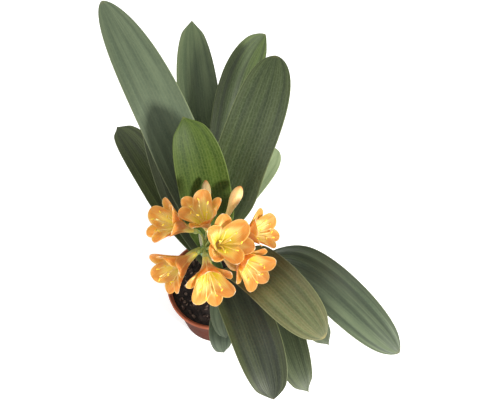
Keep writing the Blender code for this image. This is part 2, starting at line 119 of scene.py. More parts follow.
# A leaf, in millimetres and degrees: its fan and rank, the height where it leaves the foot and
# its way there, reach, azimuth and height of the tip, the way it ends, the pull of both ends on
# the arch as shares of the chord, width, roll, fold and bluntness of the tip
Leaf = namedtuple("Leaf", "fan rank exit_z leave_az leave_climb reach tip_az tip_z end_az "
                          "end_climb start_pull end_pull width roll fold blunt")
LEAVES = {
    "leaf_01": Leaf(FAN_BACK, 0, 160, 96, 82, 113, 97, 375, 111, 42, 0.49, 0.30, 64, 0, 7, 4.4),
    "leaf_02": Leaf(FAN_BACK, 1, 155, 62, 70, 223, 61, 360, 71, 5, 0.41, 0.36, 70, 0, 8, 4.4),
    "leaf_03": Leaf(FAN_BACK, 2, 150, 107, 74, 290, 109.5, 400, 115, 19, 0.45, 0.44, 66, 0, 9, 3.0),
    "leaf_04": Leaf(FAN_BACK, 3, 142, 58, 58, 277, 68, 323, 42, 2, 0.40, 0.33, 62, 34, 16, 3.2),
    "leaf_05": Leaf(FAN_BACK, 4, 137, 82, 52, 298, 88, 314, 86, 4, 0.48, 0.41, 57, 12, 9, 3.0),
    "leaf_06": Leaf(FAN_BACK, 5, 132, 129, 54, 234, 105, 232, 103, -12, 0.44, 0.34, 50, 0, 8, 3.2),
    "leaf_07": Leaf(FAN_BACK, 6, 127, 134, 45, 242, 117, 201, 125, -19, 0.41, 0.34, 53, 0, 8, 3.4),
    "leaf_08": Leaf(FAN_BACK, 7, 114, 75, 36, 184, 55, 207, 54, -7, 0.40, 0.34, 54, 0, 8, 4.0),
    "leaf_09": Leaf(FAN_FRONT, 0, 150, -15, 78, 188, -51, 288, -51, -20, 0.52, 0.38, 62, 6, 7, 4.8),
    "leaf_10": Leaf(FAN_FRONT, 1, 145, -72, 83, 200, -74, 216, -85, -50, 0.41, 0.31, 60, 6, 8, 4.2),
    "leaf_11": Leaf(FAN_FRONT, 2, 128, 8, 49, 264, -40, 272, -45, -22, 0.50, 0.46, 56, 10, 8, 4.2),
    "leaf_12": Leaf(FAN_FRONT, 3, 124, -112, 53, 95, -85, 163, -73, -47, 0.47, 0.38, 30, 6, 6, 3.6),
    "leaf_13": Leaf(FAN_FRONT, 4, 121, -20, 42, 211, -62, 204, -54, -39, 0.48, 0.29, 50, 0, 8, 3.0),
    "leaf_14": Leaf(FAN_FRONT, 5, 117, -25, 41, 185, -43, 184, -59, -23, 0.47, 0.44, 45, 0, 8, 3.0),
    "leaf_15": Leaf(FAN_FRONT, 6, 113, -108, 33, 102, -88, 122, -67, -58, 0.54, 0.39, 34, 0, 6, 3.4),
}

# Flower stalk
UMBEL = Vector((-6.0 * MM, -12.0 * MM, 270.0 * MM))
SCAPE_WIDE = 7.4 * MM
SCAPE_THIN = 5.4 * MM
SCAPE_POINTS = 40
PEDICEL_R = 1.8 * MM
OVARY_R = 3.4 * MM
OVARY_L = 8.0 * MM
OVARY_LAP = 0.6 * MM
OVARY_SHAPE = ((0.0, 0.5), (0.25, 0.8), (0.5, 0.92), (0.8, 0.80), (1.0, 0.62))

# Flowers: foot of the tube in millimetres, azimuth and climb of the axis, turn about it, size
Flower = namedtuple("Flower", "foot az climb turn size")
FLOWERS = {
    "flower_1": Flower((-18, 1, 298), 178, 44, 10, 1.04),
    "flower_2": Flower((1, -4, 302), 128, 74, 5, 1.00),
    "flower_3": Flower((8, -28, 309), -42, 66, 24, 1.12),
    "flower_4": Flower((34, -13, 292), -8, 38, 0, 0.96),
    "flower_5": Flower((26, -31, 297), -56, 25, 15, 1.04),
    "flower_6": Flower((-17, -28, 294), -143, 20, 25, 1.06),
    "flower_7": Flower((-6, -37, 298), -86, 26, 5, 1.10),
}

# Petals: height and radius along the flower's axis, half width, and lift off the next petal,
# all in millimetres at size 1, then the rows of a petal as shares of its length
Petal = namedtuple("Petal", "profile half_width lift")
NARROW = Petal(((0, 2.8), (15, 5.8), (25, 11.0), (34, 17.5), (41, 23.0), (46, 27.0)), 11.0, 0.25)
BROAD = Petal(((0, 2.8), (15, 5.8), (26, 10.5), (36, 16.0), (44, 21.5), (49, 25.5)), 14.0, -0.25)
PETAL_ROWS = (0.0, 0.05, 0.1, 0.16, 0.22, 0.29, 0.36, 0.43, 0.5, 0.57, 0.64, 0.71, 0.78, 0.84, 0.89,
              0.93, 0.96, 0.98, 0.992, 1.0)
PETAL_COLS = 13
PETAL_WIDEST_AT = 0.66
PETAL_CUP_R = 15.0
PETAL_TIP_HALF = 0.35
TUBE_SHAPE = ((0.0, 1.2), (0.1, 2.7), (5.0, 3.5), (10.0, 4.6))

# Stamens, in millimetres at size 1
HUB_AT = 3.0
HUB_SHAPE = ((0.0, 1.6), (1.5, 2.9), (3.0, 1.6))
FILAMENT_POINTS = 14
SAG = 4.5
STYLE_REACH = 3.0
STYLE_RISE = 49.0
ANTHER_SHAPE = ((-2.0, 0.25), (-1.7, 0.65), (-1.0, 0.8), (0.0, 0.75), (1.0, 0.8), (1.7, 0.65), (2.0, 0.25))

# Buds: foot in millimetres, azimuth and climb of the axis, length and radius in millimetres
Bud = namedtuple("Bud", "foot az climb length radius")
BUDS = {
    "bud_1": Bud((2, 20, 300), 86, 30, 40, 5.6),
    "bud_2": Bud((26, 15, 300), 55, 28, 38, 7.2),
    "bud_3": Bud((14, -26, 276), -49, -6, 27, 6.0),
}
GREEN_BUD = Bud((13, -4, 290), 60, 62, 14, 4.0)
BUD_SHAPE = ((0.0, 0.42), (0.25, 0.62), (0.5, 0.92), (0.7, 1.0), (0.86, 0.78), (0.96, 0.4), (1.0, 0.10))

# Bracts under the flowers; the last one has dried
Bract = namedtuple("Bract", "az climb length width dry")
BRACTS = (
    Bract(200, 30, 30, 9, False),
    Bract(15, 22, 26, 8, False),
    Bract(285, 8, 24, 9, False),
    Bract(100, 20, 26, 8, True),
)

# Camera and light
CAMERA_AT = Vector((0.0, -0.40799, 1.20622))
CAMERA_TO = Vector((0.0663, 0.12108, 0.115))
LENS = 60.0
SENSOR = 36.0
WORLD_LIGHT = 0.70
LIGHT_TO = Vector((0.0, 0.05, 0.25))
FLOOR_HALF = 6.0
FLOOR_GLOW = 0.36
WHITE = (1.0, 1.0, 1.0, 1.0)

# Accent colours
TIP_BROWN = (0.30, 0.25, 0.10)
PETAL_TIP = (0.80, 0.66, 0.45)
# Painted light: an orange glow on the petals, standing in for light shining through them
PETAL_PAINTED_LIGHT = (1.0, 0.55, 0.10, 1.0)
BUD_STREAK = (0.93, 0.74, 0.38)
STALK_STREAK = (0.38, 0.48, 0.18)
POT_PALE_PATCH = (0.36, 0.19, 0.13)


# Node graphs

class Graph:
    """A material's node graph, built call by call."""

    def __init__(self, name):
        self.mat = bpy.data.materials.new(name)
        self.mat.use_nodes = True
        self.nodes = self.mat.node_tree.nodes
        self.links = self.mat.node_tree.links
        self.shader = self.nodes["Principled BSDF"]

    def put(self, socket, value):
        if hasattr(value, "links"):
            self.links.new(value, socket)
        elif isinstance(value, tuple) and len(value) == 3 and socket.type == "RGBA":
            socket.default_value = (*value, 1.0)
        else:
            socket.default_value = value

    def make(self, kind, inputs, **props):
        node = self.nodes.new(kind)
        for key, value in props.items():
            setattr(node, key, value)
        for key, value in inputs.items():
            self.put(node.inputs[key], value)
        return node.outputs[0]

    def math(self, op, a, b=0.0, c=0.0):
        return self.make("ShaderNodeMath", {0: a, 1: b, 2: c}, operation=op)

    def sway(self, value, amount):
        """A value that lies around one half, turned into a swing about zero."""
        return self.math("MULTIPLY", self.math("ADD", value, -0.5), amount)

    def ramp(self, value, low, high, to_low=0.0, to_high=1.0):
        return self.make("ShaderNodeMapRange", {0: value, 1: low, 2: high, 3: to_low, 4: to_high},
                         interpolation_type="SMOOTHSTEP")

    def mix(self, share, a, b):
        node = self.nodes.new("ShaderNodeMix")
        node.data_type = "RGBA"
        self.put(node.inputs[0], share)
        self.put(node.inputs[6], a)
        self.put(node.inputs[7], b)
        return node.outputs[2]

    def lay(self, colour, mask, strength, over):
        """Lays a second colour over the first where the mask is."""
        return self.mix(self.math("MULTIPLY", mask, strength), colour, over)

    def noise(self, where, scale, detail=3.0, rough=0.55):
        return self.make("ShaderNodeTexNoise", {"Vector": where, "Scale": scale, "Detail": detail,
                                                "Roughness": rough})

    def stretched(self, where, scale, detail=3.0, rough=0.55):
        """Noise with its own scale along each axis."""
        return self.noise(self.place(where, scale), 1.0, detail, rough)

    def uv(self):
        node = self.nodes.new("ShaderNodeUVMap")
        node.uv_map = "UVMap"
        split = self.nodes.new("ShaderNodeSeparateXYZ")
        self.links.new(node.outputs[0], split.inputs[0])
        return node.outputs[0], split.outputs[0], split.outputs[1]

    def from_middle(self, u):
        """0 on the midrib and 1 at both edges."""
        return self.math("ABSOLUTE", self.math("MULTIPLY_ADD", u, 2.0, -1.0))

    def place(self, where, scale):
        return self.make("ShaderNodeMapping", {"Vector": where, "Scale": scale})

    def coords(self):
        return self.nodes.new("ShaderNodeTexCoord").outputs["Object"]

    def bump(self, height, distance, strength):
        return self.make("ShaderNodeBump", {"Height": height, "Distance": distance, "Strength": strength})

    def finish(self, colour, rough, normal=None, **plain):
        self.put(self.shader.inputs["Base Color"], colour)
        self.put(self.shader.inputs["Roughness"], rough)
        if normal is not None:
            self.put(self.shader.inputs["Normal"], normal)
        for key, value in plain.items():
            self.shader.inputs[key.replace("_", " ")].default_value = value
        return self.mat


def leaf_material(name, look):
    """Fine lengthwise veins with a faint lattice between them, broad soft bands, a paler edge."""
    g = Graph(name)
    uv, u, v = g.uv()
    spread = g.stretched(uv, (5.0, 3.0, 1.0), 4.0)
    streak = g.stretched(uv, (34.0, 1.6, 1.0), 5.0, 0.6)
    bands = g.stretched(uv, (7.0, 0.8, 1.0), 2.0)
    wobble = g.math("MULTIPLY", g.stretched(uv, (2.0, 6.0, 1.0)), 0.02)
    lines = g.math("SINE", g.math("MULTIPLY", g.math("ADD", u, wobble), VEINS * 2.0 * math.pi))
    vein = g.math("MULTIPLY", g.ramp(lines, -0.3, 1.0), g.ramp(spread, 0.30, 0.60, 0.35, 1.0))
    lattice = g.place(uv, (float(VEINS), LATTICE_ROWS, 1.0))
    cells = g.make("ShaderNodeTexVoronoi", {"Vector": lattice, "Scale": 1.0},
                   feature="DISTANCE_TO_EDGE")
    cross = g.ramp(cells, 0.0, 0.16, 1.0, 0.0)
    side = g.from_middle(u)
    edge = g.ramp(side, 0.955, 0.995)
    rim = g.ramp(side, 0.55, 1.0)
    rib = g.ramp(side, 0.0, 0.10, 1.0, 0.0)
    tip = g.ramp(v, 0.986, 0.999)
    foot = g.ramp(v, 0.30, 0.12)
    colour = g.mix(g.ramp(spread, 0.35, 0.70), look["deep"], look["mid"])
    colour = g.lay(colour, g.ramp(streak, 0.42, 0.72), look["streaks"], look["tint"])
    colour = g.lay(colour, rim, look["rim"], look["tint"])
    colour = g.lay(colour, vein, look["veins"], look["vein"])
    colour = g.lay(colour, cross, look["veins"], look["vein"])
    colour = g.lay(colour, rib, 0.12, look["vein"])
    colour = g.lay(colour, g.ramp(bands, 0.42, 0.62), look["bands"], look["dark"])
    colour = g.lay(colour, edge, 0.35, look["edge"])
    colour = g.lay(colour, tip, look["tip"], TIP_BROWN)
    colour = g.lay(colour, foot, 0.4, look["edge"])
    relief = g.math("ADD", g.math("MULTIPLY", lines, 0.05), g.math("MULTIPLY", cross, -0.04))
    relief = g.math("ADD", relief, g.math("MULTIPLY", streak, 0.7))
    rough = g.math("ADD", look["gloss"], g.math("MULTIPLY", spread, 0.16))
    return g.finish(colour, rough, g.bump(relief, 0.0011, 0.45), Specular_IOR_Level=look["shine"],
                    Coat_Weight=0.04, Coat_Roughness=0.35)


def petal_material(name, tone, start, spread, painted_glow):
    """Throat colour running out into orange, farthest along the middle of the petal, under a faint orange
    glow that is painted light, standing in for light shining through the petals.
    """
    g = Graph(name)
    uv, u, v = g.uv()
    side = g.from_middle(u)
    drift = g.noise(g.place(uv, (3.0, 2.0, 1.0)), 1.3)
    fine = g.stretched(uv, (26.0, 1.2, 1.0), 4.0, 0.6)
    reach = g.math("ADD", v, g.sway(drift, 0.10))
    reach = g.math("ADD", reach, g.math("MULTIPLY", side, 0.22))
    reach = g.math("ADD", reach, g.sway(fine, 0.34))
    orange = g.mix(g.ramp(drift, 0.35, 0.7), tone["deep"], tone["mid"])
    warm = g.mix(g.ramp(reach, start + 0.10, start + spread), tone["cream"], orange)
    colour = g.mix(g.ramp(reach, start - 0.16, start + 0.18), tone["throat"], warm)
    rib = g.math("MULTIPLY", g.ramp(side, 0.0, 0.10, 1.0, 0.0), g.ramp(v, 0.98, 0.66))
    colour = g.lay(colour, rib, 0.45, tone["cream"])
    colour = g.lay(colour, g.ramp(fine, 0.48, 0.66), 0.40, tone["pale"])
    colour = g.lay(colour, g.ramp(side, 0.84, 1.0), 0.35, tone["pale"])
    colour = g.lay(colour, g.ramp(v, 0.984, 0.997), 0.6, PETAL_TIP)
    relief = g.math("ADD", g.math("MULTIPLY", fine, 0.8), g.math("MULTIPLY", rib, -0.5))
    # The emission is painted light: a glow standing in for light passing through the thin petals
    return g.finish(colour, 0.52, g.bump(relief, 0.0008, 0.45), Specular_IOR_Level=0.3,
                    Subsurface_Weight=0.5, Subsurface_Scale=0.006, Subsurface_Radius=(1.0, 0.5, 0.2),
                    Emission_Color=PETAL_PAINTED_LIGHT, Emission_Strength=painted_glow)


def bud_material(name, tip, body, foot):
    g = Graph(name)
    uv, _, v = g.uv()
    fine = g.stretched(uv, (26.0, 1.2, 1.0), 4.0, 0.6)
    reach = g.math("ADD", v, g.sway(fine, 0.25))
    colour = g.mix(g.ramp(reach, 0.05, 0.45), foot, body)
    colour = g.mix(g.ramp(reach, 0.62, 0.98), colour, tip)
    colour = g.lay(colour, g.ramp(fine, 0.5, 0.75), 0.35, BUD_STREAK)
    return g.finish(colour, 0.45, g.bump(fine, 0.0009, 0.5), Specular_IOR_Level=0.4,
                    Subsurface_Weight=0.2, Subsurface_Scale=0.003)


def green_material(name, low, high):
    g = Graph(name)
    at = g.coords()
    spots = g.stretched(at, (60.0, 60.0, 14.0), 4.0)
    streaks = g.stretched(at, (420.0, 420.0, 22.0))
    colour = g.mix(g.ramp(spots, 0.3, 0.7), low, high)
    colour = g.lay(colour, g.ramp(streaks, 0.45, 0.7), 0.25, STALK_STREAK)
    return g.finish(colour, 0.42, g.bump(streaks, 0.0006, 0.5), Specular_IOR_Level=0.45,
                    Subsurface_Weight=0.12, Subsurface_Scale=0.003)


def grain_material(name, colour, other, rough, scale, depth):
    g = Graph(name)
    grain = g.noise(g.coords(), scale, 4.0)
    return g.finish(g.mix(g.ramp(grain, 0.3, 0.7), colour, other), rough, g.bump(grain, depth, 0.7))


def pot_material():
    """Moulded plastic, paler on the lip, its body below the lip painted much darker as painted shade:
    faint turning lines, a fine grain, pale patches growing towards the top.
    """
    g = Graph("pot_plastic")
    at = g.coords()
    split = g.nodes.new("ShaderNodeSeparateXYZ")
    g.links.new(at, split.inputs[0])
    height = split.outputs[2]
    cloud = g.noise(at, 28.0, 4.0)
    grain = g.noise(at, 1500.0, 2.0)
    lines = g.math("SINE", g.math("MULTIPLY", height, 2300.0))
    # Paler patches laid over the pot, more of them towards the top, so it is darker towards the bottom
    pale_patches = g.math("MULTIPLY", g.ramp(g.noise(at, 90.0, 6.0, 0.7), 0.50, 0.74),
                  g.ramp(height, 0.02, POT_H, 0.15, 0.6))
    # Painted shade: the body below the lip gets a much darker colour than the lip, as shade
    body = g.mix(g.ramp(cloud, 0.3, 0.7), (0.072, 0.0165, 0.0078), (0.098, 0.0225, 0.0108))
    rim = g.mix(g.ramp(cloud, 0.3, 0.7), (0.330, 0.092, 0.047), (0.400, 0.124, 0.066))
    colour = g.mix(g.ramp(height, 0.100, 0.108), body, rim)
    colour = g.lay(colour, pale_patches, 0.25, POT_PALE_PATCH)
    relief = g.math("ADD", g.math("MULTIPLY", lines, 0.04), g.math("MULTIPLY", grain, 0.16))
    rough = g.ramp(cloud, 0.2, 0.8, 0.55, 0.70)
    return g.finish(colour, rough, g.bump(relief, 0.0006, 0.5), IOR=1.07)


def soil_material(name, dark, light):
    g = Graph(name)
    at = g.coords()
    patch = g.noise(at, 120.0, 5.0, 0.65)
    fine = g.noise(at, 900.0, 4.0, 0.7)
    colour = g.mix(g.ramp(patch, 0.35, 0.7), dark, light)
    colour = g.lay(colour, g.ramp(fine, 0.55, 0.8), 0.5, light)
    relief = g.math("ADD", patch, g.math("MULTIPLY", fine, 0.5))
    return g.finish(colour, 0.85, g.bump(relief, 0.0022, 0.8), Specular_IOR_Level=0.3)


# Curves and meshes

def heading(azimuth, climb):
    a, e = math.radians(azimuth), math.radians(climb)
    return Vector((math.cos(a) * math.cos(e), math.sin(a) * math.cos(e), math.sin(e)))


def circle_point(radius, angle, z=0.0):
    return Vector((radius * math.cos(angle), radius * math.sin(angle), z))


def smooth(x):
    x = min(max(x, 0.0), 1.0)
    return x * x * (3.0 - 2.0 * x)


def bezier(a, b, c, d, count):
    out = []
    for i in range(count):
        t = i / (count - 1)
        u = 1.0 - t
        out.append(a * u ** 3 + b * (3 * u * u * t) + c * (3 * u * t * t) + d * t ** 3)
    return out


def catmull(knots, steps):
    """A smooth run of points through pairs of a place along and a radius."""
    points = [Vector((x, r, 0.0)) for x, r in knots]
    pts = [points[0] * 2 - points[1]] + points + [points[-1] * 2 - points[-2]]
    out = []
    for i in range(1, len(pts) - 2):
        a, b, c, d = pts[i - 1], pts[i], pts[i + 1], pts[i + 2]
        for k in range(steps):
            t = k / steps
            out.append(0.5 * ((b * 2) + (c - a) * t + (a * 2 - b * 5 + c * 4 - d) * t * t
                              + (b * 3 - a - c * 3 + d) * t ** 3))
    out.append(points[-1])
    return out


def along(points, shares):
    """Points at shares of the length of a polyline."""
    pts = np.array([tuple(p) for p in points])
    run = np.concatenate([[0.0], np.cumsum(np.linalg.norm(np.diff(pts, axis=0), axis=1))])
    return [Vector([float(np.interp(s * run[-1], run, pts[:, k])) for k in range(3)]) for s in shares]


def both_faces(cols, share):
    """Texture places of one row of a blade: across its front, then back on its rear side."""
    front = [((1.0 + v) / 2.0, share) for v in cols]
    return front + front[::-1]


class Skin:
    """Vertices, faces, UVs and material numbers of one piece."""

    def __init__(self):
        self.verts, self.faces, self.uvs, self.mats = [], [], [], []

    def face(self, corners, uvs, mat):
        self.faces.append(corners)
        self.uvs.extend(uvs)
        self.mats.append(mat)

    def grid(self, rows, uv_rows, mat=0, wrap=False, back=None):
        """Faces between rows of points; the second half of the columns may have its own material."""
        base = len(self.verts)
        n = len(rows[0])
        for row in rows:
            self.verts.extend(row)
        for i in range(len(rows) - 1):
            for j in range(n if wrap else n - 1):
                k = (j + 1) % n
                a, b = base + i * n + j, base + i * n + k
                c, d = base + (i + 1) * n + k, base + (i + 1) * n + j
                uj, uk = uv_rows[i][j][0], uv_rows[i][k][0] if k > j else 1.0
                v0, v1 = uv_rows[i][j][1], uv_rows[i + 1][j][1]
                side = mat if back is None or j < n // 2 else back
                self.face((a, b, c, d), [(uj, v0), (uk, v0), (uk, v1), (uj, v1)], side)
        return base, n

    def ends(self, base, n, count, mat):
        last = base + (count - 1) * n
        self.face(tuple(base + j for j in reversed(range(n))), [(0.5, 0.0)] * n, mat)
        self.face(tuple(last + j for j in range(n)), [(0.5, 1.0)] * n, mat)

    def barrel(self, rows, uv_rows, mat=0):
        """Closed rings of points, capped at both ends."""
        base, n = self.grid(rows, uv_rows, mat, wrap=True)
        self.ends(base, n, len(rows), mat)

    def blade(self, rows, uv_rows, back=0):
        """A closed thin sheet, whose rows run across its front and back on its rear side."""
        base, n = self.grid(rows, uv_rows, 0, back=back)
        for i in range(len(rows) - 1):
            a, b = base + i * n + n - 1, base + i * n
            v0, v1 = uv_rows[i][0][1], uv_rows[i + 1][0][1]
            self.face((a, b, b + n, a + n), [(0.0, v0), (0.0, v0), (0.0, v1), (0.0, v1)], back)
        self.ends(base, n, len(rows), 0)

    def tube(self, path, radii, sides, mat=0, guide=Vector((0.3, 0.2, 1.0)), flat=1.0, ribs=0.0,
             v_range=(0, 1)):
        """A rod along a path, which the guide keeps from twisting."""
        rows, uv_rows = [], []
        count = len(path)
        for i, p in enumerate(path):
            a, b = path[max(i - 1, 0)], path[min(i + 1, count - 1)]
            d = (b - a).normalized()
            s = guide - d * guide.dot(d)
            if s.length < 1e-4:
                s = Vector((1, 0, 0)) - d * d.x
            s.normalize()
            t = d.cross(s)
            row, uv = [], []
            v = v_range[0] + (v_range[1] - v_range[0]) * i / (count - 1)
            for j in range(sides):
                w = 2.0 * math.pi * j / sides
                r = radii[i] * (1.0 + ribs * math.cos(6.0 * w))
                row.append(p + s * (r * math.cos(w)) + t * (r * flat * math.sin(w)))
                uv.append((j / sides, v))
            rows.append(row)
            uv_rows.append(uv)
        self.barrel(rows, uv_rows, mat)

    def build(self, name, materials):
        mesh = bpy.data.meshes.new(name)
        mesh.from_pydata([tuple(v) for v in self.verts], [], self.faces)
        layer = mesh.uv_layers.new(name="UVMap")
        layer.data.foreach_set("uv", [c for uv in self.uvs for c in uv])
        for mat in materials:
            mesh.materials.append(mat)
        mesh.polygons.foreach_set("material_index", self.mats)
        mesh.polygons.foreach_set("use_smooth", [True] * len(self.faces))
        mesh.update()
        obj = bpy.data.objects.new(name, mesh)
        bpy.context.scene.collection.objects.link(obj)
        return obj

    def dress(self, node, materials):
        """Builds the piece and lets it stand for the node of the same name."""
        obj = self.build(node, materials)
        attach(obj, "root")
        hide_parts(node)
        return obj


# Leaves

def leaf_path(leaf):
    """The midrib, straight up out of the foot and then in one arch, and its straight length."""
    root = FOOT + heading(leaf.fan, 0) * (RANK_FIRST + RANK_STEP * leaf.rank)
    start = Vector((root.x, root.y, HOLE_FLOOR + STAND_GAP))
    leave = Vector((root.x, root.y, leaf.exit_z * MM))
    tip = heading(leaf.tip_az, 0) * (leaf.reach * MM)
    tip.z = leaf.tip_z * MM
    chord = (tip - leave).length
    first = leave + heading(leaf.leave_az, leaf.leave_climb) * (leaf.start_pull * chord)
    last = tip - heading(leaf.end_az, leaf.end_climb) * (leaf.end_pull * chord)
    line = [start.lerp(leave, i / FOOT_POINTS) for i in range(FOOT_POINTS)]
    line += bezier(leave, first, last, tip, ARCH_POINTS)
    points = np.array([tuple(p) for p in along(line, np.linspace(0.0, 1.0, PATH_POINTS))])
    for _ in range(SOFTENING):
        points[2:60] = 0.25 * points[1:59] + 0.5 * points[2:60] + 0.25 * points[3:61]
    return [Vector(p) for p in points.tolist()], (leave - start).length


def leaf_width(leaf, s, bare, base_width, point):
    """Full width: from the folded foot to the widest place, then round or pointed to the tip."""
    width = leaf.width * MM
    if s < WIDEST_AT:
        from_foot = bare * 0.8
        return base_width + (width - base_width) * smooth((s - from_foot) / (WIDEST_AT - from_foot))
    u = (s - WIDEST_AT) / (1.0 - WIDEST_AT)
    pointed = 0.60 + point * smooth((u - 0.86) / 0.14)
    return max(width * (1.0 - u ** leaf.blunt) ** pointed, TIP_WIDTH)


def point_at(path, share):
    """Place and direction at a share of a path with even steps."""
    x = share * (len(path) - 1)
    i = min(int(x), len(path) - 2)
    p = path[i].lerp(path[i + 1], x - i)
    a = path[max(i - 2, 0)]
    b = path[min(i + 3, len(path) - 1)]
    return p, (b - a).normalized()


def leaf_shares(bare):
    """Rows of a leaf: few on its bare foot, close together towards the tip."""
    low = list(np.linspace(0.0, bare, 7))
    mid = list(np.linspace(bare, TIP_FROM, 58))[1:]
    tip = [TIP_FROM + (1.0 - TIP_FROM) * (1.0 - (1.0 - k / 22.0) ** 1.9) for k in range(1, 23)]
    return low + mid + tip


def blade_sides(leaf, t, s, bare):
    """The ways across the blade and up from it, where the midrib runs along t."""
    turn = smooth((s - bare) / (SWUNG_AT - bare))
    lead = math.degrees(math.atan2(t.y, t.x)) if math.hypot(t.x, t.y) > 0.02 else leaf.fan
    swing = (lead - leaf.fan + 180.0) % 360.0 - 180.0
    side = heading(leaf.fan + swing * turn + 90.0, 0)
    side = (side - t * side.dot(t)).normalized()
    up = side.cross(t) * -1.0
    roll = math.radians(leaf.roll) * smooth((s - ROLL_FROM) / ROLL_SPAN)
    return (side * math.cos(roll) + up * math.sin(roll),
            up * math.cos(roll) - side * math.sin(roll))


def build_leaf(name, leaf, look):
    radius = RANK_FIRST + RANK_STEP * leaf.rank
    path, bare_length = leaf_path(leaf)
    bare = bare_length / sum((b - a).length for a, b in zip(path, path[1:]))
    base_width = 2.0 * min(BASE_HALF, radius * math.radians(BASE_MAX_ARC))
    fold = math.tan(math.radians(leaf.fold))
    phase = 1.7 * leaf.rank + (0.6 if leaf.fan == FAN_BACK else 2.9)
    cols = np.sin(np.linspace(-1.0, 1.0, LEAF_COLS) * math.pi / 2.0)
    rows, uv_rows = [], []
    for s in leaf_shares(bare):
        p, t = point_at(path, s)
        side, up = blade_sides(leaf, t, s, bare)
        half_width = 0.5 * leaf_width(leaf, s, bare, base_width, look["point"])
        flat = smooth((s - bare * OPEN_FROM) / (FLAT_AT - bare * OPEN_FROM))
        bend = (1.0 - flat) / radius + flat * BLADE_BEND
        thick = BASE_THICK + (BLADE_THICK - BASE_THICK) * flat
        taper = smooth((1.0 - s) / 0.03)
        wave = look["wave"] * MM * flat * smooth((0.97 - s) / 0.2)
        groove = look["groove"] * MM * flat * taper
        top, low = [], []
        for v in cols:
            ang = bend * half_width * v
            crease = math.sqrt(v * v + CREASE_SOFT) - CREASE_SINK
            x = math.sin(ang) / bend
            y = (1.0 - math.cos(ang)) / bend + crease * half_width * fold * flat
            y += wave * v * v * math.sin(9.0 * s + phase + (1.3 if v > 0 else 0.0))
            y += groove * math.cos(v * 11.0)
            nx, ny = -math.sin(ang), math.cos(ang)
            half = 0.5 * (thick + (EDGE_THICK - thick) * abs(v) ** 1.5)
            half = TIP_HALF_THICK + (half - TIP_HALF_THICK) * taper
            half *= 1.0 - 0.8 * smooth((abs(v) - 0.97) / 0.03)
            top.append(p + side * (x + nx * half) + up * (y + ny * half))
            low.append(p + side * (x - nx * half) + up * (y - ny * half))
        rows.append(top + low[::-1])
        uv_rows.append(both_faces(cols, s))
    skin = Skin()
    skin.blade(rows, uv_rows)
    skin.dress(name, [leaf_material(name + "_skin", look)])


# Flowers

def axis_frame(axis, turn):
    """Two ways square to the axis, turned about it."""
    s = UP - axis * UP.dot(axis)
    if s.length < 1e-4:
        s = Vector((1.0, 0.0, 0.0)) - axis * axis.x
    s.normalize()
    t = axis.cross(s)
    c, d = math.cos(math.radians(turn)), math.sin(math.radians(turn))
    return s * c + t * d, t * c - s * d


def tepal(skin, petal, foot, axis, out, around, size, phase):
    """One petal: a strip wrapped round the tube at its foot and cupped above it."""
    mids = along(catmull(petal.profile, 8), PETAL_ROWS)
    cols = np.linspace(-1.0, 1.0, PETAL_COLS)
    unit = size * MM
    rows, uv_rows = [], []
    for i, s in enumerate(PETAL_ROWS):
        a, b = mids[max(i - 1, 0)], mids[min(i + 1, len(mids) - 1)]
        run = (b - a).normalized()
        inward = axis * run.y - out * run.x
        centre = foot + axis * (mids[i].x * unit) + out * ((mids[i].y + petal.lift) * unit)
        r = max(mids[i].y, 2.5)
        grow = smooth(s / PETAL_WIDEST_AT)
        round_off = max((s - PETAL_WIDEST_AT) / (1.0 - PETAL_WIDEST_AT), 0.0) ** 2.6
        w = r * 0.58 * (1.0 - grow) + petal.half_width * grow
        w = min(w, petal.half_width) * max(1.0 - round_off, 0.0) ** 0.55
        w = max(w, PETAL_TIP_HALF)
        open_up = smooth((s - 0.2) / 0.5)
        cup = r * (1.0 - open_up) + PETAL_CUP_R * open_up
        ruffle = 0.9 * smooth((s - 0.45) / 0.4)
        keel = 0.45 * smooth((s - 0.15) / 0.2) * smooth((0.98 - s) / 0.2)
        thick = 0.5 * (0.75 - 0.35 * s)
        top, low = [], []
        for v in cols:
            ang = v * w / cup
            x, y = cup * math.sin(ang), cup * (1.0 - math.cos(ang))
            y += ruffle * math.sin(7.0 * s + phase + 2.0 * v) * v * v
            y -= keel * math.exp(-(v / 0.16) ** 2)
            edge = thick * (1.0 - 0.7 * abs(v) ** 4)
            q = centre + around * (x * unit)
            top.append(q + inward * ((y + edge) * unit))
            low.append(q + inward * ((y - edge) * unit))
        rows.append(top + low[::-1])
        uv_rows.append(both_faces(cols, s))
    skin.blade(rows, uv_rows, back=1)


def build_flower(name, flower, materials):
    foot = Vector(flower.foot) * MM
    axis = heading(flower.az, flower.climb)
    s, t = axis_frame(axis, flower.turn)
    unit = flower.size * MM
    skin = Skin()
    for lobe in range(6):
        a = math.radians(60.0 * lobe)
        out = s * math.cos(a) + t * math.sin(a)
        around = t * math.cos(a) - s * math.sin(a)
        petal = NARROW if lobe % 2 else BROAD
        tepal(skin, petal, foot, axis, out, around, flower.size, 2.1 * lobe + 0.01 * flower.az)
    path = [foot + axis * (h * unit) for h, _ in TUBE_SHAPE]
    skin.tube(path, [r * unit for _, r in TUBE_SHAPE], 24, 1, v_range=(0.0, 0.16))
    skin.dress(name, materials)


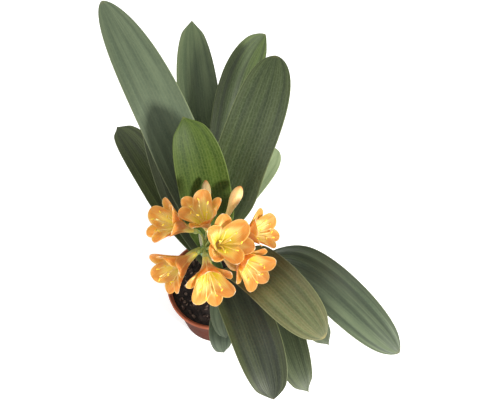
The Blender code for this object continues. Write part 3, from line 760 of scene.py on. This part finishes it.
def build_stamens(name, flower, filament, pollen):
    """Six filaments and a style from one hub, sagging a little towards the lower petals."""
    axis = heading(flower.az, flower.climb)
    s, t = axis_frame(axis, flower.turn)
    unit = flower.size * MM
    root = Vector(flower.foot) * MM + axis * (HUB_AT * unit)
    sag = (axis * axis.z - UP) * (SAG * unit)
    skin = Skin()
    skin.tube([root + axis * (h * unit) for h, _ in HUB_SHAPE], [r * unit for _, r in HUB_SHAPE], 16)
    for k in range(7):
        style = k == 6
        a = math.radians(60.0 * k + 12.0)
        out = s * math.cos(a) + t * math.sin(a)
        reach = (STYLE_REACH if style else 10.5 + 1.6 * (k % 2)) * unit
        rise = (STYLE_RISE if style else 38.0 + 3.0 * (k % 3)) * unit
        tip = root + axis * rise + out * reach + sag
        low = root + axis * (1.6 * unit)
        if not style:
            low = low + out * (1.15 * unit)
        pull = tip - axis * (0.3 * rise) - out * (0.3 * reach)
        path = bezier(low, low + axis * (0.5 * rise), pull, tip, FILAMENT_POINTS)
        radii = [(0.78 - 0.018 * i) * MM for i in range(FILAMENT_POINTS)]
        if style:
            radii[-1] = 0.75 * MM
        skin.tube(path, radii, 8)
        if not style:
            way = (path[-1] - path[-2]).normalized()
            across = (out * 0.5 + s * math.cos(1.9 * k) + t * math.sin(1.9 * k)).normalized()
            way = (way + across * 0.9).normalized()
            middle = tip + axis * (0.9 * MM)
            line = [middle + way * (d * unit) for d, _ in ANTHER_SHAPE]
            skin.tube(line, [r * unit for _, r in ANTHER_SHAPE], 10, 1)
    skin.dress(name, [filament, pollen])


def build_bud(name, bud, material):
    foot = Vector(bud.foot) * MM
    axis = heading(bud.az, bud.climb)
    line = catmull(BUD_SHAPE, 6)
    skin = Skin()
    path = [foot + axis * (p.x * bud.length * MM) for p in line]
    skin.tube(path, [max(p.y, 0.08) * bud.radius * MM for p in line], 48, ribs=0.035)
    skin.dress(name, [material])


# Stalk

def build_scape(stalk, fresh, dry):
    """The flower stalk with everything green on it: pedicels, ovaries, green bud, bracts."""
    start = Vector((FOOT.x, FOOT.y, HOLE_FLOOR + STAND_GAP))
    top = UMBEL + UP * (4.0 * MM)
    lift = UP * (60.0 * MM)
    lean = Vector((-3, -4, 0)) * MM
    path = bezier(start, start + lift * 1.7, top - lift - lean, top, SCAPE_POINTS)
    radii = [SCAPE_WIDE * (1.0 + 0.08 * smooth((i - 30) / 6.0) - 0.35 * smooth((i - 36) / 3.0))
             for i in range(SCAPE_POINTS)]
    skin = Skin()
    skin.tube(path, radii, 28, 0, heading(FAN_BACK + 90.0, 0), SCAPE_THIN / SCAPE_WIDE)
    for flower in FLOWERS.values():
        pedicel(skin, flower, flower.size)
    for bud in BUDS.values():
        pedicel(skin, bud, 0.7 * bud.radius / 6.0)
    pedicel(skin, GREEN_BUD, 0.6)
    axis = heading(GREEN_BUD.az, GREEN_BUD.climb)
    foot = Vector(GREEN_BUD.foot) * MM
    steps = range(-2, 13)
    line = [foot + axis * (k * GREEN_BUD.length / 12.0 * MM) for k in steps]
    radii = [GREEN_BUD.radius * MM * math.sin(math.pi * (k + 3.0) / 16.5) ** 0.7 for k in steps]
    skin.tube(line, radii, 16, 1)
    for spec in BRACTS:
        bract(skin, spec)
    skin.dress("scape", [stalk, fresh, dry])


def pedicel(skin, head, size):
    """The green stem of a flower or a bud, from the umbel to its foot, with the ovary at its end."""
    foot = Vector(head.foot) * MM
    axis = heading(head.az, head.climb)
    root = UMBEL - UP * (2.0 * MM)
    end = foot - axis * (OVARY_L * size + STAND_GAP)
    chord = (end - root).length
    start_way = ((end - root).normalized() + UP * 0.5).normalized()
    path = bezier(root, root + start_way * (0.35 * chord), end - axis * (0.35 * chord), end, 16)
    guide = axis.cross(UP)
    skin.tube(path, [PEDICEL_R * 0.9] * 15 + [PEDICEL_R], 14, 1, guide)
    line = catmull(OVARY_SHAPE, 4)
    stop = foot - axis * STAND_GAP
    back = end - axis * OVARY_LAP
    radii = [OVARY_R * size * p.y for p in line]
    skin.tube([back.lerp(stop, p.x) for p in line], radii, 18, 1, guide, ribs=0.02)


def bract(skin, spec):
    """A small leaf under the flowers, cupped and hanging over a little."""
    length, width = spec.length * MM, spec.width * MM
    root = UMBEL - UP * (4.0 * MM)
    way = heading(spec.az, spec.climb)
    side = heading(spec.az + 90.0, 0)
    up = way.cross(side)
    rows, uv_rows = [], []
    for i in range(13):
        s = i / 12.0
        w = 0.8 + 0.9 * s - 1.58 * s * s
        p = root + way * (length * s) - UP * (length * 0.18 * s * s)
        top, low = [], []
        for v in np.linspace(-1.0, 1.0, 7):
            rise = (1.2 * abs(v) * w + 0.3 * math.sin(9 * s + v)) * MM
            q = p + side * (width * 0.5 * w * v) + up * rise
            top.append(q + up * (0.3 * MM))
            low.append(q - up * (0.3 * MM))
        rows.append(top + low[::-1])
        uv_rows.append([(j / 14.0, s) for j in range(14)])
    skin.barrel(rows, uv_rows, 2 if spec.dry else 1)


# Pot and potting mix

def wall_radius(z):
    return POT_BASE_R + (POT_BODY_R - POT_BASE_R) * z / (POT_H - POT_LIP_H)


def pot_profile():
    """Radius and height from the middle of the underside, up outside, over the lip and down inside."""
    lip_low = POT_H - POT_LIP_H
    inner = POT_RIM_R - POT_LIP_WALL
    underside = [
        (3.0 * MM, 0.8 * MM), (26.0 * MM, 0.8 * MM), (27.0 * MM, 0.1 * MM), (43.0 * MM, 0.1 * MM),
        (POT_BASE_R - 6.0 * MM, 0.0), (POT_BASE_R - 1.6 * MM, 0.0), (POT_BASE_R - 0.5 * MM, 0.4 * MM),
        (POT_BASE_R, 1.4 * MM),
    ]
    outside = [
        (wall_radius(50 * MM), 50 * MM), (POT_BODY_R - 0.2 * MM, lip_low - 1.6 * MM),
        (POT_BODY_R + 0.5 * MM, lip_low - 0.3 * MM), (POT_RIM_R - 1.4 * MM, lip_low),
        (POT_RIM_R - 0.6 * MM, lip_low + 0.6 * MM), (POT_RIM_R - 0.1 * MM, POT_H - 1.6 * MM),
        (POT_RIM_R - 0.4 * MM, POT_H - 0.5 * MM), (POT_RIM_R - 1.2 * MM, POT_H),
    ]
    inside = [
        (inner + 0.4 * MM, POT_H - 0.1 * MM), (inner, POT_H - 0.8 * MM),
        (inner - 0.5 * MM, lip_low + 2.8 * MM), (inner - 1.2 * MM, lip_low + 1.8 * MM),
        (wall_radius(lip_low) - POT_WALL, lip_low + 0.4 * MM),
        (wall_radius(POT_FLOOR) - POT_WALL, POT_FLOOR), (3.0 * MM, POT_FLOOR),
    ]
    return underside + outside + inside


def build_pot():
    """The turned wall with its lip, and the drain holes cut through its floor."""
    profile = pot_profile()
    skin = Skin()
    rows, uv_rows = [], []
    for i, (r, z) in enumerate(profile):
        rows.append([circle_point(r, 2 * math.pi * j / POT_SIDES, z) for j in range(POT_SIDES)])
        uv_rows.append([(j / POT_SIDES, i / len(profile)) for j in range(POT_SIDES)])
    skin.barrel(rows, uv_rows)
    pot = skin.dress("pot", [pot_material()])
    bpy.context.view_layer.objects.active = pot
    for i in range(DRAIN_HOLES):
        at = circle_point(DRAIN_RING_R, 2.0 * math.pi * (i + 0.5) / DRAIN_HOLES)
        drill = Skin()
        drill.tube([at - UP * (3 * MM), at + UP * (5 * MM)], [DRAIN_R, DRAIN_R], 24, 0, Vector((1, 0, 0)))
        cutter = drill.build("drain", [])
        mod = pot.modifiers.new("drain", "BOOLEAN")
        mod.operation = "DIFFERENCE"
        mod.solver = "EXACT"
        mod.object = cutter
        bpy.ops.object.modifier_apply(modifier=mod.name)
        bpy.data.objects.remove(cutter, do_unlink=True)
    mod = pot.modifiers.new("edges", "EDGE_SPLIT")
    mod.split_angle = math.radians(POT_SHARP)


def hole_point(angle, grow=0.0):
    """A point on the oval hole in the mix, whose long side lies along the ranks of leaves."""
    fan = math.radians(FAN_BACK)
    a = angle - fan
    x, y = (HOLE_LONG + grow) * math.cos(a), (HOLE_SHORT + grow) * math.sin(a)
    return Vector((FOOT.x + x * math.cos(fan) - y * math.sin(fan),
                   FOOT.y + x * math.sin(fan) + y * math.cos(fan), 0.0))


def build_soil(materials):
    """Uneven ground with loose chips of bark lying on it."""
    rng = np.random.default_rng(SOIL_SEED)
    top_r = wall_radius(SOIL_TOP) - POT_WALL - SOIL_GAP
    low_r = wall_radius(POT_FLOOR) - POT_WALL - SOIL_GAP
    angles = [2 * math.pi * j / SOIL_SIDES for j in range(SOIL_SIDES)]
    rows = [[circle_point(low_r, a, POT_FLOOR + STAND_GAP) for a in angles]]
    for i in range(SOIL_RINGS + 1):
        row = []
        for a in angles:
            p = circle_point(top_r, a).lerp(hole_point(a), i / SOIL_RINGS)
            lump = 0.0 if i in (0, SOIL_RINGS) else float(rng.uniform(-1.0, 0.7)) * MM
            row.append(p + UP * (SOIL_TOP - 0.8 * MM + lump))
        rows.append(row)
    for share in (0.0, 0.5):
        rows.append([hole_point(a).lerp(FOOT, share) + UP * HOLE_FLOOR for a in angles])
    uv_rows = [[(j / SOIL_SIDES, i / len(rows)) for j in range(SOIL_SIDES)] for i in range(len(rows))]
    skin = Skin()
    skin.barrel(rows, uv_rows)
    for _ in range(CHIPS):
        scatter_chip(skin, rng, top_r)
    skin.dress("soil", materials)


def scatter_chip(skin, rng, top_r):
    """One chip between the hole and the wall, or down on the floor of the hole near its edge."""
    a = rng.uniform(0.0, 2 * math.pi)
    inner = hole_point(a, 1.0 * MM)
    edge = circle_point(top_r, a) * 0.955
    at = inner.lerp(edge, float(rng.uniform(-0.25, 1.0)))
    from_foot = (at - FOOT).length / (inner - FOOT).length
    if at.length > top_r * 0.93 or from_foot < 0.5:
        return
    height = HOLE_FLOOR + 2.5 * MM if from_foot < 1.0 else SOIL_TOP
    at = at + UP * (height + float(rng.uniform(-0.6, 0.9)) * MM)
    chip(skin, rng, at, int(rng.integers(0, 3)))


def chip(skin, rng, at, mat):
    """A broken flake of bark: a lumpy six-sided slab."""
    size = float(rng.uniform(CHIP_MIN, CHIP_MAX)) * MM
    spin = float(rng.uniform(0.0, 180.0))
    tip = float(rng.uniform(-28.0, 28.0))
    ahead = heading(spin, tip)
    side = heading(spin + 90.0, float(rng.uniform(-22.0, 22.0)))
    up = ahead.cross(side).normalized()
    rows, uv_rows = [], []
    for k, (level, shrink) in enumerate(((-0.26, 0.72), (-0.1, 1.0), (0.12, 1.0), (0.26, 0.72))):
        row = []
        for j in range(6):
            w = math.pi * 2.0 * j / 6.0
            r = size * shrink * (0.75 + 0.25 * math.sin(3.7 * j + spin))
            across = side * (0.58 * r * math.sin(w))
            row.append(at + ahead * (r * math.cos(w)) + across + up * (level * size))
        rows.append(row)
        uv_rows.append([(j / 6.0, k / 4.0) for j in range(6)])
    skin.barrel(rows, uv_rows, mat)


# Stage

def build_stage():
    """A wide white floor that glows a little."""
    mesh = bpy.data.meshes.new("floor")
    corners = [(x * FLOOR_HALF, y * FLOOR_HALF, 0) for x, y in ((-1, -1), (1, -1), (1, 1), (-1, 1))]
    mesh.from_pydata(corners, [], [(0, 1, 2, 3)])
    floor = bpy.data.objects.new("floor", mesh)
    bpy.context.scene.collection.objects.link(floor)
    g = Graph("floor")
    mesh.materials.append(g.finish((0.86, 0.86, 0.85), 0.85, Emission_Color=WHITE,
                                   Emission_Strength=FLOOR_GLOW))


def lamp(name, at, size, power, colour):
    light = bpy.data.lights.new(name, "AREA")
    light.shape = "DISK"
    light.size = size
    light.energy = power
    light.color = colour
    obj = bpy.data.objects.new(name, light)
    obj.location = at
    obj.rotation_euler = (LIGHT_TO - Vector(at)).to_track_quat("-Z", "Y").to_euler()
    bpy.context.scene.collection.objects.link(obj)


def build_light():
    world = bpy.data.worlds.new("studio")
    world.use_nodes = True
    background = world.node_tree.nodes["Background"]
    background.inputs[0].default_value = WHITE
    background.inputs[1].default_value = WORLD_LIGHT
    bpy.context.scene.world = world
    lamp("key", (1.24, -1.27, 1.20), 0.42, 68.0, (1.0, 0.98, 0.95))
    lamp("fill", (-1.4, 0.3, 1.3), 1.6, 15.0, (1.0, 0.99, 0.97))
    bpy.context.scene.view_settings.view_transform = "Standard"


def build_camera():
    data = bpy.data.cameras.new("camera")
    data.sensor_width = SENSOR
    data.lens = LENS
    camera = bpy.data.objects.new("camera", data)
    camera.location = CAMERA_AT
    camera.rotation_euler = (CAMERA_TO - CAMERA_AT).to_track_quat("-Z", "Y").to_euler()
    bpy.context.scene.collection.objects.link(camera)
    bpy.context.scene.camera = camera


# Plant

def leaf_look(deep, mid, tint=(0.10, 0.12, 0.04), vein=(0.14, 0.17, 0.09),
              edge=(0.26, 0.30, 0.13), **more):
    """Colours, strengths and relief of one leaf, apart from the usual ones where it differs."""
    values = {"deep": deep, "mid": mid, "tint": tint, "vein": vein, "edge": edge,
              "dark": tuple(0.5 * c for c in deep), "streaks": 0.25, "rim": 0.25, "bands": 0.4,
              "veins": 0.14, "gloss": 0.44, "shine": 0.35, "wave": 0.8, "groove": 0.10,
              "tip": 0.15, "point": 0.35}
    values.update(more)
    return values


LOOKS = {
    "leaf_01": leaf_look((0.021, 0.043, 0.004), (0.046, 0.078, 0.009), (0.060, 0.088, 0.014),
                         (0.095, 0.130, 0.030), (0.20, 0.26, 0.07), shine=0.12, gloss=0.5, veins=0.28,
                         bands=0.2),
    "leaf_02": leaf_look((0.021, 0.035, 0.009), (0.042, 0.062, 0.016), (0.060, 0.078, 0.020), veins=0.15,
                         point=0.0),
    "leaf_03": leaf_look((0.056, 0.080, 0.045), (0.100, 0.132, 0.074), (0.08, 0.10, 0.05), streaks=0.35,
                         bands=0.25, point=0.0),
    "leaf_04": leaf_look((0.030, 0.048, 0.014), (0.064, 0.102, 0.025), (0.13, 0.17, 0.03), point=0.12),
    "leaf_05": leaf_look((0.060, 0.090, 0.041), (0.118, 0.156, 0.072), (0.11, 0.13, 0.06), point=0.25,
                         bands=0.25),
    "leaf_06": leaf_look((0.056, 0.068, 0.042), (0.092, 0.106, 0.064)),
    "leaf_07": leaf_look((0.032, 0.044, 0.012), (0.066, 0.090, 0.023), (0.09, 0.11, 0.025)),
    "leaf_08": leaf_look((0.220, 0.290, 0.140), (0.380, 0.470, 0.250), (0.34, 0.42, 0.22),
                         (0.46, 0.52, 0.33), point=0.0, bands=0.1),
    "leaf_09": leaf_look((0.068, 0.084, 0.028), (0.124, 0.142, 0.054), (0.150, 0.104, 0.046),
                         (0.20, 0.21, 0.11), (0.28, 0.30, 0.13), streaks=0.5, rim=0.22, tip=0.7,
                         veins=0.2, point=0.05),
    "leaf_10": leaf_look((0.018, 0.024, 0.014), (0.038, 0.046, 0.028), (0.064, 0.080, 0.018),
                         (0.09, 0.11, 0.06), streaks=0.3, rim=0.6, bands=0.5, point=0.25),
    "leaf_11": leaf_look((0.052, 0.074, 0.043), (0.130, 0.165, 0.092), (0.09, 0.12, 0.06), groove=0.7,
                         bands=0.6, point=0.06),
    "leaf_12": leaf_look((0.058, 0.080, 0.048), (0.110, 0.142, 0.088), (0.13, 0.16, 0.10)),
    "leaf_13": leaf_look((0.044, 0.060, 0.029), (0.082, 0.104, 0.051), (0.09, 0.10, 0.04), point=0.5),
    "leaf_14": leaf_look((0.048, 0.066, 0.033), (0.086, 0.110, 0.058), (0.09, 0.11, 0.05)),
    "leaf_15": leaf_look((0.047, 0.068, 0.041), (0.085, 0.115, 0.072), (0.10, 0.12, 0.07)),
}
PETAL_TONE = {"deep": (0.50, 0.150, 0.030), "mid": (0.57, 0.215, 0.052), "pale": (0.66, 0.370, 0.150),
              "cream": (0.76, 0.560, 0.210), "throat": (0.76, 0.720, 0.080)}
# Material of each bud: its name, and the colours of tip, body and foot
BUD_TONES = {
    "bud_1": ("bud_pale", (0.42, 0.15, 0.04), (0.34, 0.25, 0.11), (0.24, 0.27, 0.09)),
    "bud_2": ("bud_warm", (0.72, 0.26, 0.06), (0.78, 0.48, 0.18), (0.78, 0.60, 0.22)),
    "bud_3": ("bud_dusky", (0.60, 0.22, 0.045), (0.66, 0.34, 0.085), (0.66, 0.46, 0.13)),
}


def build_plant():
    for name, leaf in LEAVES.items():
        build_leaf(name, leaf, LOOKS[name])
    stalk = green_material("stalk_skin", (0.10, 0.19, 0.05), (0.17, 0.28, 0.08))
    fresh = green_material("pedicel_skin", (0.27, 0.38, 0.08), (0.43, 0.50, 0.17))
    dry = grain_material("bract_skin", (0.55, 0.55, 0.40), (0.72, 0.70, 0.58), 0.6, 90.0, 0.0006)
    build_scape(stalk, fresh, dry)
    # The last number is the strength of the petals' painted glow, painted light that is stronger on the
    # inside
    petals = [petal_material("petal_inside", PETAL_TONE, 0.56, 0.34, 0.10),
              petal_material("petal_outside", PETAL_TONE, 0.20, 0.24, 0.05)]
    filament = grain_material("filament_skin", (0.84, 0.66, 0.20), (0.90, 0.78, 0.36), 0.5, 200.0, 0.0003)
    pollen = grain_material("anther_skin", (0.90, 0.60, 0.03), (0.98, 0.76, 0.10), 0.8, 2500.0, 0.0005)
    for name, flower in FLOWERS.items():
        build_flower(name, flower, petals)
        build_stamens(name.replace("flower", "stamens"), flower, filament, pollen)
    for name, bud in BUDS.items():
        build_bud(name, bud, bud_material(*BUD_TONES[name]))


def main():
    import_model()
    build_pot()
    build_soil([soil_material("mix_dark", (0.010, 0.007, 0.006), (0.034, 0.022, 0.018)),
                soil_material("bark_brown", (0.028, 0.017, 0.013), (0.085, 0.052, 0.040)),
                soil_material("bark_light", (0.080, 0.052, 0.040), (0.240, 0.165, 0.125))])
    build_plant()
    build_stage()
    build_light()
    build_camera()


main()
